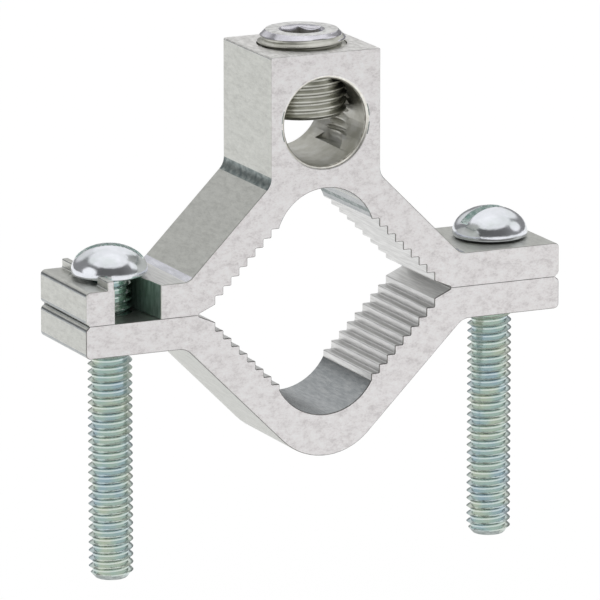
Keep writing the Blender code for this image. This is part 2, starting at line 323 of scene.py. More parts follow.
# Tin in the punched socket: a little duller.
tin_socket = metal(
    "tin_plated_socket",
    tones=("#B8B7B3", "#C8C7C4", "#D6D5D2"),
    blotch=1 * MM,
    marks=0.4 * MM,
    roughness=(0.3, 0.42),
    relief=0.006 * MM,
)
# Tin on the chamfer: a bright cone.
tin_cone = metal(
    "tin_plated_cone",
    tones=("#CFCED5", "#D8D7DE", "#E1E0E7"),
    blotch=1.5 * MM,
    marks=0.4 * MM,
    roughness=(0.16, 0.26),
    relief=0.01 * MM,
)
# Tin on the flat ring round the socket: pale and matt.
tin_plate = metal(
    "tin_plated_ring",
    tones=("#D4D4D2", "#EAEAE9", "#FCFCFB"),
    blotch=0.9 * MM,
    marks=0.5 * MM,
    roughness=(0.38, 0.5),
    relief=0.03 * MM,
)

# %% [markdown]
# A screw thread is a ridge that follows a helix. A Screw modifier could sweep its profile,
# but its ends would be hard to trim. A rule is easier to trim and to reuse, so a Geometry
# Nodes tree computes the thread. Its sizes are named inputs, and one tree serves the
# clamp screws, the set screw and every tapped hole.

# %% The thread tree and its inputs
MATH = "ShaderNodeMath"
THREAD_INPUTS = (
    "Pitch",
    "Crest Flat",
    "Crest Radius",
    "Root Radius",
    "Core Radius",
    "Bottom",
    "Bottom Radius",
    "Bottom Slope",
    "Top",
    "Top Radius",
    "Top Slope",
)
threads = bpy.data.node_groups.new("thread", "GeometryNodeTree")
for name in THREAD_INPUTS:
    threads.interface.new_socket(name, in_out="INPUT", socket_type="NodeSocketFloat")
threads.interface.new_socket("Material", in_out="INPUT", socket_type="NodeSocketMaterial")
threads.interface.new_socket("Mesh", in_out="OUTPUT", socket_type="NodeSocketGeometry")
size = add(threads, "NodeGroupInput").outputs
print("sizes of the thread tree:", len(THREAD_INPUTS))

# %% [markdown]
# The tree starts from a flat grid: one side runs along the screw, ten rows to each pitch,
# and the other runs once round. It is two pitches longer than the thread, so that both
# ends can be cut square later.

# %% The grid
ROWS_PER_PITCH = 10
COLUMNS = 64
SPARE_TURNS = 2
length = add(threads, MATH, [size["Top"], size["Bottom"]], operation="SUBTRACT")
pitches = add(threads, MATH, [length, size["Pitch"]], operation="DIVIDE")
whole = add(threads, MATH, [pitches], operation="CEIL")
turns = add(threads, MATH, [whole, SPARE_TURNS], operation="ADD")
rows = add(threads, MATH, [turns, ROWS_PER_PITCH, 1], operation="MULTIPLY_ADD")
grid = add(threads, "GeometryNodeMeshGrid", {"Vertices X": rows, "Vertices Y": COLUMNS + 1})
print("faces in one turn:", ROWS_PER_PITCH * COLUMNS)

# %% [markdown]
# The points of a grid are numbered row by row, so a point's row and column follow from its
# number. Each column is lifted a little more than the one before it, by one pitch in all.
# The last column then meets the first one a turn later, and the ridge closes into a helix.

# %% The height of each point
index = add(threads, "GeometryNodeInputIndex")
rows_before = add(threads, MATH, [index, COLUMNS + 1], operation="DIVIDE")
row = add(threads, MATH, [rows_before], operation="FLOOR")
row_start = add(threads, MATH, [row, COLUMNS + 1], operation="MULTIPLY")
column = add(threads, MATH, [index, row_start], operation="SUBTRACT")
round_share = add(threads, MATH, [column, COLUMNS], operation="DIVIDE")
turn = add(threads, MATH, [row, ROWS_PER_PITCH], operation="DIVIDE")
started = add(threads, MATH, [turn, 1], operation="SUBTRACT")
lifted = add(threads, MATH, [started, round_share], operation="ADD")
height = add(threads, MATH, [lifted, size["Pitch"], size["Bottom"]], operation="MULTIPLY_ADD")
print("nodes so far:", len(threads.nodes))

# %% [markdown]
# The radius comes from the row's place in its pitch: from the root, which is flat for a
# fifth of the way, up a straight flank to the crest, and down again. Two cones, one at
# each end, trim the ridge where a real thread runs out. An inner core is the least radius,
# so that a tap leaves a plain round hole where its thread has run out.

# %% The radius of each point
ROOT_FLAT = 0.2
phase = add(threads, MATH, [turn], operation="FRACT")
doubled = add(threads, MATH, [phase, 2, -1], operation="MULTIPLY_ADD")
ridge = add(threads, MATH, [doubled], operation="ABSOLUTE")
crest_start = add(threads, MATH, [1, size["Crest Flat"]], operation="SUBTRACT")
limits = {"Value": ridge, "From Min": ROOT_FLAT, "From Max": crest_start}
limits |= {"To Min": size["Root Radius"], "To Max": size["Crest Radius"]}
profile = add(threads, "ShaderNodeMapRange", limits)
above_bottom = add(threads, MATH, [height, size["Bottom"]], operation="SUBTRACT")
below_top = add(threads, MATH, [size["Top"], height], operation="SUBTRACT")
lower_sizes = [above_bottom, size["Bottom Slope"], size["Bottom Radius"]]
lower_cone = add(threads, MATH, lower_sizes, operation="MULTIPLY_ADD")
upper_sizes = [below_top, size["Top Slope"], size["Top Radius"]]
upper_cone = add(threads, MATH, upper_sizes, operation="MULTIPLY_ADD")
cones = add(threads, MATH, [lower_cone, upper_cone], operation="MINIMUM")
trimmed = add(threads, MATH, [profile, cones], operation="MINIMUM")
radius = add(threads, MATH, [trimmed, size["Core Radius"]], operation="MAXIMUM")
print("nodes so far:", len(threads.nodes))

# %% [markdown]
# Height, radius and angle put each point of the grid in its place. The first and the last
# column then lie on each other and are merged, so that no seam is left. The tree ends in
# Realize Instances and Set Material, because an export drops instances.

# %% The grid bent into a thread
WELD = 0.001 * MM  # points closer than this are one point
angle = add(threads, MATH, [round_share, math.tau], operation="MULTIPLY")
cosine = add(threads, MATH, [angle], operation="COSINE")
sine = add(threads, MATH, [angle], operation="SINE")
x_place = add(threads, MATH, [radius, cosine], operation="MULTIPLY")
y_place = add(threads, MATH, [radius, sine], operation="MULTIPLY")
spot = add(threads, "ShaderNodeCombineXYZ", [x_place, y_place, height])
bent = add(threads, "GeometryNodeSetPosition", {"Geometry": grid, "Position": spot})
closed = add(threads, "GeometryNodeMergeByDistance", {"Geometry": bent, "Distance": WELD})
real = add(threads, "GeometryNodeRealizeInstances", [closed])
shown = add(threads, "GeometryNodeSetMaterial", {"Geometry": real, "Material": size["Material"]})
add(threads, "NodeGroupOutput", [shown])
print("thread tree:", len(threads.nodes), "nodes")

# %% [markdown]
# Three helpers serve every piece. The first puts a mesh in the scene. The second turns
# modifiers into plain mesh, because the pieces have to be plain before they ride on a
# body. The third cuts a tube square at two heights and caps it, which makes it a solid.

# %% Plain meshes with closed ends
ON_PLANE = 1e-8  # a point this close to a cutting plane, in metres, lies on it


def link(name, mesh):
    """An object at the origin that shows a mesh."""
    obj = bpy.data.objects.new(name, mesh)
    bpy.context.scene.collection.objects.link(obj)
    return obj


def bake(obj):
    """Turns an object's modifiers into plain mesh."""
    bpy.context.view_layer.update()
    evaluated = obj.evaluated_get(bpy.context.evaluated_depsgraph_get())
    mesh = bpy.data.meshes.new_from_object(evaluated)
    obj.modifiers.clear()
    obj.data = mesh


def close_ends(mesh, bottom, top):
    """Cuts a mesh square at two heights, and caps it."""
    shape = bmesh.new()
    shape.from_mesh(mesh)
    for z, side in ((bottom, -1), (top, 1)):
        plane = {"plane_co": (0, 0, z), "plane_no": (0, 0, side), "dist": ON_PLANE}
        geometry = [*shape.verts, *shape.edges, *shape.faces]
        bmesh.ops.bisect_plane(shape, geom=geometry, clear_outer=True, **plane)
    bmesh.ops.holes_fill(shape, edges=[edge for edge in shape.edges if edge.is_boundary], sides=0)
    bmesh.ops.recalc_face_normals(shape, faces=shape.faces)
    shape.to_mesh(mesh)
    shape.free()


print("helpers: link, bake, close_ends")

# %% [markdown]
# A threaded rod serves twice: as a screw's shank, and as the cutter that taps a hole. Its
# form is its pitch, the flat share of its crest, and its crest, root and core radius. Each
# end is a height, the radius that it is trimmed to, and how steeply it widens from there.
# The tree's inputs are set by their identifiers, since names are only labels.

# %% A threaded rod


def threaded_rod(name, material, form, bottom, top):
    """A rod about the Z axis, threaded by the tree and cut square at both ends."""
    obj = link(name, bpy.data.meshes.new(name))
    modifier = obj.modifiers.new("thread", "NODES")
    modifier.node_group = threads
    sockets = {item.name: item.identifier for item in threads.interface.items_tree if item.in_out == "INPUT"}
    for key, value in zip(THREAD_INPUTS, (*form, *bottom, *top)):
        modifier[sockets[key]] = value
    modifier[sockets["Material"]] = material
    bake(obj)
    obj.data.materials.clear()
    obj.data.materials.append(material)
    close_ends(obj.data, bottom[0], top[0])
    print(name, "has", len(obj.data.polygons), "faces")
    return obj


print("helper: threaded_rod")

# %% [markdown]
# Round heads, plain cutters and bores are profiles turned about an axis, as on a lathe.
# Each point of the profile becomes a ring of points, or one point where it is on the axis,
# and the rings are joined by faces. The result is closed by itself, so it can cut and be
# cut.

# %% Turning a profile


def turned(name, material, profile, steps):
    """A closed solid from (radius, z) points, top to bottom, starting and ending on the axis."""
    shape = bmesh.new()
    rings = []
    for radius, z in profile:
        if radius == 0:
            rings.append([shape.verts.new((0, 0, z))])
            continue
        angles = [math.tau * step / steps for step in range(steps)]
        rings.append([shape.verts.new((radius * math.cos(a), radius * math.sin(a), z)) for a in angles])
    for upper, lower in zip(rings, rings[1:]):
        for step in range(steps):
            after = (step + 1) % steps
            corners = [upper[step % len(upper)], lower[step % len(lower)], lower[after % len(lower)]]
            corners.append(upper[after % len(upper)])
            shape.faces.new(list(dict.fromkeys(corners)))
    bmesh.ops.recalc_face_normals(shape, faces=shape.faces)
    mesh = bpy.data.meshes.new(name)
    shape.to_mesh(mesh)
    shape.free()
    mesh.materials.append(material)
    return link(name, mesh)


print("helper: turned")

# %% [markdown]
# Each cut or join is a Boolean modifier that is applied at once. The Manifold solver is
# quick and exact as long as both meshes are closed, and it carries the cutter's material
# into the cut, so a hole gets its own finish. Smooth shading then hides the facets, with
# creases left where the surface really turns, and weighted normals keep flat faces flat.

# %% Cutting, joining and shading


def combine(obj, other, operation):
    """Cuts another object from obj, or joins it on, and removes the other."""
    boolean = obj.modifiers.new("combine", "BOOLEAN")
    boolean.operation = operation
    boolean.solver = "MANIFOLD"
    boolean.material_mode = "TRANSFER"
    boolean.object = other
    bake(obj)
    bpy.data.objects.remove(other)


def smooth(obj, crease):
    """Smooth shading, with creases where the surface turns by more than an angle in degrees."""
    obj.data.shade_smooth()
    obj.data.set_sharp_from_angle(angle=math.radians(crease))
    weighted = obj.modifiers.new("weighted", "WEIGHTED_NORMAL")
    weighted.keep_sharp = True
    bake(obj)


print("helpers: combine, smooth")

# %% [markdown]
# Each clamp screw is a round-head machine screw with a single slot. The thread is 18 to
# the inch, so its pitch is 25.4 mm / 18. The CAD model has a plain shank at the middle
# height of the ridges; here the crests stand out from it and the roots go in. The shank
# reaches a little way up into the head, and only its tip is trimmed to a cone.

# %% Sizes of the clamp screws
PITCH = 25.4 / 18 * MM
CREST_FLAT = 0.06
# A form is the pitch, the flat share of the crest, and the crest, root and core radius.
SCREW_FORM = (PITCH, CREST_FLAT, 3.95 * MM, 3.2 * MM, 0)
TIP_RADIUS = 2.8 * MM
TIP_SLOPE = 0.9
TIP_LENGTH = 0.9 * MM
UNTRIMMED = (1.0, 0)  # a radius far outside any thread, and no slope
SHANK_OVERLAP = 0.3 * MM
HEAD_HEIGHT = 5.1 * MM
HEAD_RIM = 0.5 * MM
HEAD_DROP = 0.2 * MM
HEAD_ROUNDING = 0.45 * MM
DOME_STEPS = 18
RIM_STEPS = 4
FINE_ROUND = 96
print("pitch", round(PITCH / MM, 4), "mm")

# %% [markdown]
# The head's half section is a quarter of an ellipse for the dome and a quarter of a circle
# for its lower edge, both in short steps that smooth shading hides. Its underside reaches
# a little lower than the CAD model's, so that the gap under the head looks as thin as the
# real one.

# %% The profile of a round head


def head_profile(radius):
    """(radius, z) points from the top of the dome to the middle of the underside."""
    profile = [(0, HEAD_HEIGHT)]
    for step in range(1, DOME_STEPS + 1):
        lift = math.pi / 2 * (1 - step / DOME_STEPS)
        profile.append((radius * math.cos(lift), HEAD_RIM + (HEAD_HEIGHT - HEAD_RIM) * math.sin(lift)))
    for step in range(RIM_STEPS + 1):
        dip = math.pi / 2 * step / RIM_STEPS
        inward = HEAD_ROUNDING * (1 - math.cos(dip))
        profile.append((radius - inward, HEAD_ROUNDING * (1 - math.sin(dip)) - HEAD_DROP))
    profile.append((0, -HEAD_DROP))
    return profile


print("head profile:", len(head_profile(1)), "points")

# %% [markdown]
# The slot is milled straight across, so a long bar cuts it, turned as the CAD model's slot
# is. A narrow bevel then rounds the edges that the cut leaves: on shiny plate, a sharp
# edge without a highlight gives the model away.

# %% The driver slot
SLOT_WIDTH = 1.9 * MM
SLOT_DEPTH = 2.5 * MM
SLOT_SOFTENING = 0.12 * MM
BAR_LENGTH = 3  # in radii of the head
BEVEL_FROM = math.radians(50)


def slot_cutter(material, radius, turn):
    """A bar across the head, as wide as the driver slot and as deep."""
    shape = bmesh.new()
    bmesh.ops.create_cube(shape, size=1)
    bmesh.ops.scale(shape, verts=shape.verts, vec=(BAR_LENGTH * radius, SLOT_WIDTH, 2 * SLOT_DEPTH))
    bmesh.ops.rotate(shape, verts=shape.verts, matrix=Matrix.Rotation(turn, 3, "Z"))
    bmesh.ops.translate(shape, verts=shape.verts, vec=(0, 0, HEAD_HEIGHT))
    mesh = bpy.data.meshes.new("slot_cutter")
    shape.to_mesh(mesh)
    shape.free()
    mesh.materials.append(material)
    return link("slot_cutter", mesh)


def soften(obj):
    """Rounds an object's sharp edges a little."""
    bevel = obj.modifiers.new("soften", "BEVEL")
    bevel.width = SLOT_SOFTENING
    bevel.segments = 2
    bevel.limit_method = "ANGLE"
    bevel.angle_limit = BEVEL_FROM
    bake(obj)


print("slot", round(SLOT_WIDTH / MM, 1), "mm wide")

# %% [markdown]
# A screw is put together about the origin and then moved to the place of its CAD node,
# which gives its axis, its reach and its radius. The tip is found by where its faces lie
# and which way they look. The two screws differ only in place and in how their slots stand.

# %% Build the clamp screws
DOWNWARD = -0.3  # a face whose normal's z is less than this looks down
SCREW_CREASE = 40


def clamp_screw(node, turn):
    """A finer screw in the place of a CAD screw, with its slot turned as the CAD's is."""
    low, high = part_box(node)
    radius = (high.x - low.x) / 2
    seat = high.z - HEAD_HEIGHT
    tip_z = low.z - seat
    screw = turned(node.replace("clamp_", ""), zinc_head, head_profile(radius), FINE_ROUND)
    combine(screw, slot_cutter(zinc_slot, radius, turn), "DIFFERENCE")
    soften(screw)
    ends = (tip_z, TIP_RADIUS, TIP_SLOPE), (SHANK_OVERLAP, *UNTRIMMED)
    combine(screw, threaded_rod("shank", zinc_thread, SCREW_FORM, *ends), "UNION")
    screw.data.materials.append(zinc_tip)
    tip = list(screw.data.materials).index(zinc_tip)
    for face in screw.data.polygons:
        if face.center.z < tip_z + TIP_LENGTH and face.normal.z < DOWNWARD:
            face.material_index = tip
    smooth(screw, SCREW_CREASE)
    screw.data.transform(Matrix.Translation(((low.x + high.x) / 2, (low.y + high.y) / 2, seat)))
    return screw


left_screw = clamp_screw("left_clamp_screw", math.radians(-25))
right_screw = clamp_screw("right_clamp_screw", math.radians(12))
for screw, node in ((left_screw, "left_clamp_screw"), (right_screw, "right_clamp_screw")):
    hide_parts(node)
    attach(screw, node)
    print(screw.name, "spans", [round(extent / MM, 2) for extent in screw.dimensions], "mm")

# %% [markdown]
# The set screw is a short plug with a fine, large thread and a hex socket. Its rod comes
# from the same tree, with the upper cone cut down to the flat ring round the socket. It
# is turned until its ridges stand in the wire bore as the real ones do. The socket is a
# six-sided cutter, and a cone after it makes the small countersink at its mouth.

# %% Shape the set screw
SET_FORM = (PITCH, 0.2, 7.85 * MM, 7.15 * MM, 0)
SET_END_RADIUS = 7.2 * MM
CONE_SLOPE = 1  # 45 degrees
RING_RADIUS = 6.45 * MM
THREAD_TURN = math.radians(110)
SOCKET_RADIUS = 6.35 / 2 / math.cos(math.pi / 6) * MM  # the corners of a 6.35 mm key
SOCKET_DEPTH = 6.0 * MM
SOCKET_TURN = math.radians(11.5)
SINK_RADIUS = 4.1 * MM
SINK_LIFT = 0.5 * MM
SINK_SIDES = 48
OVERSHOOT = 1 * MM  # how far a cutter stands out of what it cuts
low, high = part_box("set_screw")
ends = (low.z - high.z, SET_END_RADIUS, CONE_SLOPE), (0, RING_RADIUS, CONE_SLOPE)
plug = threaded_rod("set_plug", tin_thread_painted_shade, SET_FORM, *ends)
plug.data.transform(Matrix.Rotation(THREAD_TURN, 4, "Z"))
hexagon = [(0, OVERSHOOT), (SOCKET_RADIUS, OVERSHOOT), (SOCKET_RADIUS, -SOCKET_DEPTH), (0, -SOCKET_DEPTH)]
socket = turned("socket", tin_socket, hexagon, 6)
socket.data.transform(Matrix.Rotation(SOCKET_TURN, 4, "Z"))
combine(plug, socket, "DIFFERENCE")
sink = [(0, SINK_LIFT), (SINK_RADIUS + SINK_LIFT, SINK_LIFT), (0, -SINK_RADIUS)]
combine(plug, turned("mouth", tin_cone, sink, SINK_SIDES), "DIFFERENCE")
print("set screw", len(plug.data.polygons), "faces")

# %% [markdown]
# The rod came with one finish and the cutters left theirs in the socket. The flat ring and
# the cone outside it are found by where they lie, and are given their own.

# %% Finish the set screw
RING_MARGIN = 0.01 * MM
CONE_MARGIN = 0.06 * MM
PLUG_CREASE = 50
plug.data.materials.append(tin_plate)
finishes = list(plug.data.materials)
print("set screw finishes:", [material.name for material in finishes])
for face in plug.data.polygons:
    from_axis = math.hypot(face.center.x, face.center.y)
    if face.center.z > -RING_MARGIN:
        face.material_index = finishes.index(tin_plate)
    elif abs(from_axis + face.center.z - RING_RADIUS) < CONE_MARGIN:
        face.material_index = finishes.index(tin_cone)
smooth(plug, PLUG_CREASE)
plug.data.transform(Matrix.Translation((0, 0, high.z)))
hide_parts("set_screw")
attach(plug, "set_screw")

# %% [markdown]
# The jaws are already exact in the CAD model, but their meshes are loose triangles with
# knife edges. They could be drawn and extruded again, but a copy is safer. It is merged
# into whole faces, the edges of its sawn sides are broken by a tenth of a millimetre, and
# its parting face comes closer to the other jaw's, for the real ones fit tightly.

# %% A merged copy of a jaw
EDGE_SOFTENING = 0.13 * MM
RIM_MARGIN = 0.01 * MM
PARTING_MARGIN = 0.2 * MM
PARTING_SHARE = 0.35
FLAT_WITHIN = math.radians(0.3)
SHARP_FROM = math.radians(30)
FINISHES = (
    sawn_aluminium,
    edge_painted_shade,
    mill_aluminium,
    step_aluminium,
    burnished_painted_shade,
    burnished_painted_highlight,
    milled_aluminium,
    machined_aluminium,
    lug_root_painted_shade,
    faced_aluminium,
    mouth_painted_highlight,
)


def merged_copy(node, name):
    """A CAD node's mesh as one closed shell with whole flat faces."""
    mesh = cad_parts[node].data.copy()
    mesh.materials.clear()
    shape = bmesh.new()
    shape.from_mesh(mesh)
    bmesh.ops.remove_doubles(shape, verts=shape.verts, dist=WELD)
    bmesh.ops.dissolve_limit(shape, angle_limit=FLAT_WITHIN, verts=shape.verts, edges=shape.edges)
    half = max(vert.co.y for vert in shape.verts)
    parting = [vert for vert in shape.verts if abs(vert.co.z) < PARTING_MARGIN]

    def on_rim(edge):
        return all(abs(abs(vert.co.y) - half) < RIM_MARGIN for vert in edge.verts)

    sharp = [edge for edge in shape.edges if edge.calc_face_angle(0) > SHARP_FROM]
    rim = [edge for edge in sharp if on_rim(edge) and not set(edge.verts) <= set(parting)]
    for vert in parting:
        vert.co.z *= PARTING_SHARE
    bmesh.ops.bevel(shape, geom=rim, offset=EDGE_SOFTENING, segments=2, profile=0.5, affect="EDGES")
    shape.to_mesh(mesh)
    print(node, len(shape.faces), "faces, open edges:", sum(not edge.is_manifold for edge in shape.edges))
    shape.free()
    for material in FINISHES:
        mesh.materials.append(material)
    return link(name, mesh)


print("finishes of the jaws:", len(FINISHES))

# %% [markdown]
# Each face of a jaw gets its finish from where it lies and which way it looks, so nothing
# has to be painted or picked by hand, and both jaws share one rule. Round stretches give
# themselves away by their normals: every flat face of the section is square or at 45
# degrees. A flat face that needs two finishes is first split along a plane.

# %% Which face gets which finish
SAWN, EDGE_SHADE, MILL, STEPS, PAINTED_SHADE, PAINTED_HIGHLIGHT, SLOT, MACHINED, ROOT_SHADE, FACED, MOUTH_HIGHLIGHT = range(len(FINISHES))
SCREW_X = 37.195 * MM
SLOT_REACH = 6 * MM  # from a clamp screw's axis to the farthest wall of its slot or hole
SLOT_END_Y = 9.7 * MM
EAR_HEIGHT = 6.3 * MM
SIDE_Y = 9.8 * MM  # the sawn sides and their broken edges lie farther out
BITE_REACH = 22.95 * MM
STEP_DEPTH = 2.2 * MM
STEPS_START_X = 8.8 * MM
SQUARE_WITHIN = 2  # degrees
# The next three are limits for one part of a face's normal, which is 1 when it looks that way.
SIDEWAYS = 0.95
BROKEN = 0.2
UPRIGHT = 0.3


def jaw_finish(centre, normal, fallback):
    """The finish of a face that is sawn, broken, milled or stepped, and a fallback for others."""
    in_vee = abs(centre.x) + abs(centre.z) < BITE_REACH + STEP_DEPTH
    if abs(centre.y) > SIDE_Y and abs(normal.y) > SIDEWAYS:
        return SAWN
    # Broken edges in the V and on the lower half get a dark tone: a painted shadow line.
    if abs(centre.y) > SIDE_Y and abs(normal.y) > BROKEN:
        return EDGE_SHADE if in_vee or centre.z < 0 else MILL
    # Walls beside a screw get the milled finish, whose green tint is a painted reflection of the screw.
    beside_screw = abs(abs(centre.x) - SCREW_X) < SLOT_REACH and abs(centre.y) < SLOT_END_Y
    if beside_screw and abs(normal.z) < UPRIGHT and abs(centre.z) < EAR_HEIGHT:
        return SLOT
    if in_vee and abs(centre.x) > STEPS_START_X:
        return STEPS
    return fallback


def is_rounded(normal):
    """True on fillets and round corners, which look neither square nor at 45 degrees."""
    return SQUARE_WITHIN < math.degrees(math.atan2(normal.z, normal.x)) % 45 < 45 - SQUARE_WITHIN


def within(value, span):
    """True between the two ends of a span."""
    return span[0] < value < span[1]


def split_across(obj, x):
    """Splits the faces that cross a plane of constant x."""
    shape = bmesh.new()
    shape.from_mesh(obj.data)
    geometry = [*shape.verts, *shape.edges, *shape.faces]
    bmesh.ops.bisect_plane(shape, geom=geometry, dist=ON_PLANE, plane_co=(x, 0, 0), plane_no=(1, 0, 0))
    shape.to_mesh(obj.data)
    shape.free()


def finish_faces(obj, choose):
    """Gives every face the finish that choose(centre, normal) names."""
    counts = [0] * len(FINISHES)
    for face in obj.data.polygons:
        face.material_index = choose(face.center, face.normal)
        counts[face.material_index] += 1
    print(obj.name, "faces by finish:", counts)


print("helpers: jaw_finish, is_rounded, within, split_across, finish_faces")

# %% [markdown]
# The upper jaw carries the lug. Its large hole is tapped from the top through the wire
# bore, and the thread shows again below, on the bore's walls. A threaded rod, a little
# larger than the set screw, cuts that thread. Its upper cone ends the thread just under
# the lug's top, and its core leaves the mouth of the hole round.

# %% Tap the lug
TAP_RIDGE_RADIUS = 7.9 * MM
TAP_FORM = (PITCH, CREST_FLAT, 8.4 * MM, TAP_RIDGE_RADIUS, TAP_RIDGE_RADIUS)
TAP_BOTTOM = 28.1 * MM
TAP_TOP = 45.5 * MM
TAP_TOP_RADIUS = 7.0 * MM
upper = merged_copy("upper_jaw", "upper_jaw_dressed")
ends = (TAP_BOTTOM, TAP_RIDGE_RADIUS, CONE_SLOPE), (TAP_TOP, TAP_TOP_RADIUS, CONE_SLOPE)
combine(upper, threaded_rod("tap", machined_aluminium, TAP_FORM, *ends), "DIFFERENCE")

# %% [markdown]
# The two mouths of the wire bore are rounded over, so that they don't chafe the strands.
# A bevel would need the right edges picked, and the booleans have broken them up. A plug
# that flares out in a quarter circle, turned about the bore's axis, takes each edge away.

# %% Round the mouths of the wire bore
BORE_Z = 32.2 * MM
BORE_RADIUS = 7.85 * MM
MOUTH_FILLET = 0.7 * MM
FLARE_STEPS = 6
half_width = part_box("upper_jaw")[1].y
for side in (1, -1):
    flare = [(0, half_width + OVERSHOOT), (BORE_RADIUS + MOUTH_FILLET, half_width + OVERSHOOT)]
    for step in range(FLARE_STEPS + 1):
        dip = math.pi / 2 * step / FLARE_STEPS
        away = MOUTH_FILLET * (1 - math.sin(dip))
        flare.append((BORE_RADIUS + away, half_width - MOUTH_FILLET * (1 - math.cos(dip))))
    flare.append((0, half_width - MOUTH_FILLET))
    cutter = turned("flare", machined_aluminium, flare, FINE_ROUND)
    outward = Matrix.Rotation(-side * math.pi / 2, 4, "X")
    cutter.data.transform(Matrix.Translation((0, 0, BORE_Z)) @ outward)
    combine(upper, cutter, "DIFFERENCE")
print("upper jaw", len(upper.data.polygons), "faces")

# %% [markdown]
# On the upper jaw, the cut faces are told by how far they lie from the axes of the two
# bores, and the round ones by where they are on the section. The strip of the left ear's
# top next to the ear's root is paler than the rest, so that face is split there.

# %% Finish the upper jaw
MOUTH_REACH = 8.6 * MM  # these four are distances from the axis of a bore
BORE_REACH = 8.1 * MM
TAP_REACH = 8.6 * MM
TAP_SPAN = 15.2 * MM
MOUTH_START_Y = 9.2 * MM
TAP_FLOOR_Z = 26 * MM
LUG_TOP_Z = 44 * MM
EAR_TOP_Z = 5 * MM
PALE_STRIP_X = (-32 * MM, -27 * MM)
EAR_ROOT_X = (22 * MM, 33 * MM)
LUG_ROOT_X = (8 * MM, 16 * MM)
LUG_ROOT_Z = (15 * MM, 40 * MM)
# The next five are limits for one part of a face's normal again.
FLARED = 0.97
LEVEL = 0.99
UPWARD = 0.3
SKYWARD = 0.98
ENDWAYS = 0.8
JAW_CREASE = 20


def upper_finish(centre, normal):
    """The finish of a face of the upper jaw."""
    from_bore = math.hypot(centre.x, centre.z - BORE_Z)
    # The rounded mouths get a pale tone: a painted highlight.
    if from_bore < MOUTH_REACH and abs(centre.y) > MOUTH_START_Y and abs(normal.y) < FLARED:
        return MOUTH_HIGHLIGHT
    in_tap = math.hypot(centre.x, centre.y) < TAP_REACH and centre.z > TAP_FLOOR_Z
    if from_bore < BORE_REACH or in_tap and abs(normal.z) < LEVEL and from_bore < TAP_SPAN:
        return MACHINED
    if normal.z > UPWARD and centre.z > LUG_TOP_Z:
        return FACED
    if normal.z > SKYWARD and within(centre.x, PALE_STRIP_X) and centre.z > EAR_TOP_Z:
        return STEPS
    # Painted light on the rounds: painted shade on the fillets under the lug and on the dark rounds, and a
    # painted highlight on the wide fillets of the ears.
    rounded = is_rounded(normal)
    if rounded and within(abs(centre.x), LUG_ROOT_X) and within(centre.z, LUG_ROOT_Z):
        return ROOT_SHADE
    bright = rounded and within(abs(centre.x), EAR_ROOT_X) and centre.z > EAR_TOP_Z
    dark = rounded and (abs(centre.x) < LUG_ROOT_X[1] or abs(normal.x) > ENDWAYS)
    return jaw_finish(centre, normal, PAINTED_HIGHLIGHT if bright else PAINTED_SHADE if dark else MILL)


split_across(upper, PALE_STRIP_X[0])
finish_faces(upper, upper_finish)
smooth(upper, JAW_CREASE)
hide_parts("upper_jaw")
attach(upper, "upper_jaw")

# %% [markdown]
# The lower jaw is the same kind of slice. Its two ears are tapped for the clamp screws.
# Each hole is cut by a threaded rod from the same tree. The ridges that it leaves stop a
# hair outside the screw's crests, so that screw and jaw stay clear of each other wherever
# the jaw stands.

# %% Tap the lower jaw
EAR_TAP_RIDGE_RADIUS = 3.98 * MM
EAR_TAP_FORM = (PITCH, CREST_FLAT, 4.25 * MM, EAR_TAP_RIDGE_RADIUS, 0)
EAR_TAP_BOTTOM = -8 * MM
EAR_TAP_TOP = 2 * MM
lower = merged_copy("lower_jaw", "lower_jaw_dressed")
ends = [(z, EAR_TAP_RIDGE_RADIUS, CONE_SLOPE) for z in (EAR_TAP_BOTTOM, EAR_TAP_TOP)]
for x in (-SCREW_X, SCREW_X):
    tap = threaded_rod("ear_tap", machined_aluminium, EAR_TAP_FORM, *ends)
    tap.data.transform(Matrix.Translation((x, 0, 0)))
    combine(lower, tap, "DIFFERENCE")
print("lower jaw", len(lower.data.polygons), "faces")

# %% [markdown]
# The rule for its faces is the same, with two additions: the round crown in the bottom of
# the V and the round corners at the ends of the ears are smooth, and get painted shade.

# %% Finish the lower jaw
CROWN_REACH = 21 * MM
CROWN_END_X = 8.9 * MM
EAR_END_X = 40 * MM


def lower_finish(centre, normal):
    """The finish of a face of the lower jaw."""
    # The crown and the ears' round end corners get a dark tone: painted shade.
    in_crown = math.hypot(centre.x, centre.z) < CROWN_REACH and abs(centre.x) < CROWN_END_X
    corner = is_rounded(normal) and abs(centre.x) > EAR_END_X and abs(normal.x) > ENDWAYS
    return jaw_finish(centre, normal, PAINTED_SHADE if in_crown or corner else MILL)


finish_faces(lower, lower_finish)
smooth(lower, JAW_CREASE)
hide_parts("lower_jaw")
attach(lower, "lower_jaw")

# %% [markdown]
# Under the clamp is a plain sheet of white paper. Camera and glossy rays see it as a
# glowing white, as in a shop photograph, with a faint matt part that still takes the soft
# shadow of the clamp. More light on real paper would also bleach the clamp; this way the
# light on it stays plain. The lower jaw runs 40 mm down its screws before they let it go,
# and the paper lies just below that, so that the open clamp doesn't sink into it.

